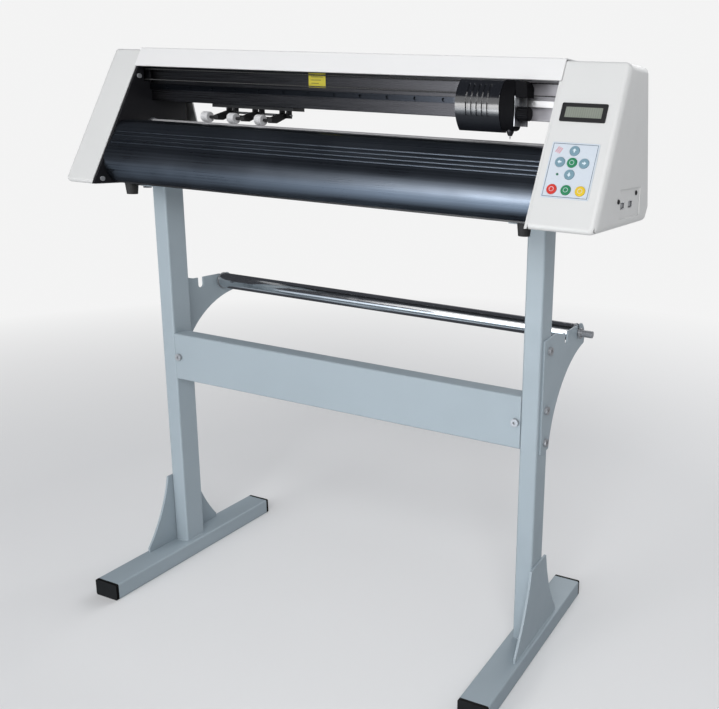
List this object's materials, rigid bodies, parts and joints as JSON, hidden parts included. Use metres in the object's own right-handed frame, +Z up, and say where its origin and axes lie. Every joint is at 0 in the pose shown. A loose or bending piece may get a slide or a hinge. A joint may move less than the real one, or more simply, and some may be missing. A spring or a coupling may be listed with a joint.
{
  "type": "vinyl cutter",
  "caption": "Floor-standing vinyl cutter: a long head with a cutting carriage, feed roller and control panel on a two-post steel stand with a roll bar.",
  "frame": {"origin": "on the floor, under the middle of the whole machine, which is also the centre line of the posts front to back", "axes": "+X along the head towards the control panel, +Y from the operator to the rear, +Z up"},
  "size_m": [0.9632, 0.37, 0.959],
  "materials": {
    "stand_paint": "light blue-grey powder coat",
    "black_plastic": "matt black moulding",
    "black_gloss": "glossy black moulding",
    "bolt_steel": "zinc plated steel",
    "chrome_tube": "bright polished tube",
    "black_rubber": "matt black rubber",
    "white_rubber": "white wheel rubber",
    "black_paint": "satin black paint",
    "black_anodised": "black anodised extrusion",
    "white_moulding": "warm white moulding",
    "white_paint": "white powder coat",
    "roller_steel": "ground steel",
    "pulley_metal": "machined aluminium",
    "dark_metal": "dark anodised turning",
    "keypad_film": "pale blue-grey printed film",
    "circuit_board": "green circuit board",
    "key_blue": "blue-grey key",
    "key_green": "green key",
    "key_red": "red key",
    "key_yellow": "yellow key"
  },
  "bodies": {
    "root": {"foot_tubes": "stand_paint", "foot_end_caps": "black_plastic", "posts": "stand_paint", "gusset_plates": "stand_paint", "cross_beam": "stand_paint", "beam_brackets": "stand_paint", "roll_arms": "stand_paint", "stand_bolts": "bolt_steel", "head_plates": "stand_paint", "rubber_feet": "black_rubber", "base_pan": "black_paint", "left_side_plate": "black_paint", "right_side_plate": "black_paint", "cover_screws": "bolt_steel", "left_cover": "white_moulding", "right_cover": "white_moulding", "top_cover": "white_paint", "platen": "black_anodised", "rear_platen": "black_anodised", "cutting_strip": "black_plastic", "feed_bearings": "roller_steel", "feed_belt": "black_rubber", "feed_motor": "black_paint", "pinch_bracket": "black_paint", "pinch_hinge_rod": "roller_steel", "carriage_beam": "black_anodised", "linear_rail": "roller_steel", "drive_belt": "black_rubber", "carriage_motor": "black_paint", "lcd_module": "black_plastic", "keypad_overlay": "keypad_film", "control_board": "circuit_board", "power_supply": "pulley_metal", "power_inlet": "black_plastic"},
    "roll": {"roll_shaft": "chrome_tube", "roll_end_plugs": "bolt_steel"},
    "feed_roller": {"feed_shaft": "roller_steel", "feed_pulley": "pulley_metal"},
    "feed_rotor": {"feed_motor_pinion": "pulley_metal"},
    "pinch_lift": {"pinch_arms": "black_plastic"},
    "pinch_wheels": {"pinch_rollers": "white_rubber"},
    "carriage": {"slide_block": "roller_steel", "carriage_plate": "pulley_metal", "carriage_cover": "black_gloss", "solenoid": "black_plastic"},
    "tool": {"tool_block": "black_gloss", "blade_holder": "dark_metal", "blade": "roller_steel"},
    "knob": {"clamp_knob": "black_plastic"},
    "drive_wheel": {"drive_pulley": "pulley_metal"},
    "idler_wheel": {"idler_pulley": "pulley_metal"},
    "switch": {"power_switch": "black_gloss"},
    "key_up_cap": {"key_up": "key_blue"},
    "key_down_cap": {"key_down": "key_blue"},
    "key_left_cap": {"key_left": "key_blue"},
    "key_right_cap": {"key_right": "key_blue"},
    "key_centre_cap": {"key_centre": "key_green"},
    "key_red_cap": {"key_red": "key_red"},
    "key_green_cap": {"key_green": "key_green"},
    "key_yellow_cap": {"key_yellow": "key_yellow"}
  },
  "joints": [
    {"name": "roll_spin", "type": "hinge", "parent": "root", "child": "roll", "pos_m": [-0.0154, 0.13, 0.527], "axis": [1, 0, 0], "continuous": true},
    {"name": "feed_spin", "type": "hinge", "parent": "root", "child": "feed_roller", "pos_m": [-0.0154, 0, 0.8303], "axis": [1, 0, 0], "continuous": true},
    {"name": "feed_motor_spin", "type": "hinge", "parent": "root", "child": "feed_rotor", "pos_m": [0.4306, 0.05, 0.775], "axis": [1, 0, 0], "continuous": true},
    {"name": "pinch_lift_hinge", "type": "hinge", "parent": "root", "child": "pinch_lift", "pos_m": [-0.2154, 0.034, 0.858], "axis": [-1, 0, 0], "range_deg": [0, 10]},
    {"name": "pinch_spin", "type": "hinge", "parent": "pinch_lift", "child": "pinch_wheels", "pos_m": [-0.2154, 0, 0.84835], "axis": [1, 0, 0], "continuous": true},
    {"name": "carriage_slide", "type": "slide", "parent": "root", "child": "carriage", "axis": [1, 0, 0], "range_m": [-0.6, 0.034]},
    {"name": "tool_drop", "type": "slide", "parent": "carriage", "child": "tool", "axis": [0, 0, -1], "range_m": [0, 0.004]},
    {"name": "clamp_turn", "type": "hinge", "parent": "tool", "child": "knob", "pos_m": [0.3346, -0.0276, 0.88], "axis": [1, 0, 0], "range_deg": [0, 270]},
    {"name": "drive_pulley_spin", "type": "hinge", "parent": "root", "child": "drive_wheel", "pos_m": [0.4266, -0.005, 0.915], "axis": [0, 1, 0], "range_deg": [-260, 4400]},
    {"name": "idler_spin", "type": "hinge", "parent": "root", "child": "idler_wheel", "pos_m": [-0.4434, -0.005, 0.915], "axis": [0, 1, 0], "range_deg": [-260, 4400]},
    {"name": "switch_rock", "type": "hinge", "parent": "root", "child": "switch", "pos_m": [-0.4714, 0, 0.822], "axis": [0, 1, 0], "range_deg": [0, 16]},
    {"name": "key_up_press", "type": "slide", "parent": "root", "child": "key_up_cap", "axis": [0, 0.8905, -0.455], "range_m": [0, 0.0006]},
    {"name": "key_down_press", "type": "slide", "parent": "root", "child": "key_down_cap", "axis": [0, 0.8905, -0.455], "range_m": [0, 0.0006]},
    {"name": "key_left_press", "type": "slide", "parent": "root", "child": "key_left_cap", "axis": [0, 0.8905, -0.455], "range_m": [0, 0.0006]},
    {"name": "key_right_press", "type": "slide", "parent": "root", "child": "key_right_cap", "axis": [0, 0.8905, -0.455], "range_m": [0, 0.0006]},
    {"name": "key_centre_press", "type": "slide", "parent": "root", "child": "key_centre_cap", "axis": [0, 0.8905, -0.455], "range_m": [0, 0.0006]},
    {"name": "key_red_press", "type": "slide", "parent": "root", "child": "key_red_cap", "axis": [0, 0.8905, -0.455], "range_m": [0, 0.0006]},
    {"name": "key_green_press", "type": "slide", "parent": "root", "child": "key_green_cap", "axis": [0, 0.8905, -0.455], "range_m": [0, 0.0006]},
    {"name": "key_yellow_press", "type": "slide", "parent": "root", "child": "key_yellow_cap", "axis": [0, 0.8905, -0.455], "range_m": [0, 0.0006]}
  ],
  "couplings": [
    {"joint": "feed_motor_spin", "follows": "feed_spin", "ratio": 2.5},
    {"joint": "pinch_spin", "follows": "feed_spin", "ratio": -1},
    {"joint": "drive_pulley_spin", "follows": "carriage_slide", "rad_per_m": -125},
    {"joint": "idler_spin", "follows": "carriage_slide", "rad_per_m": -125}
  ]
}
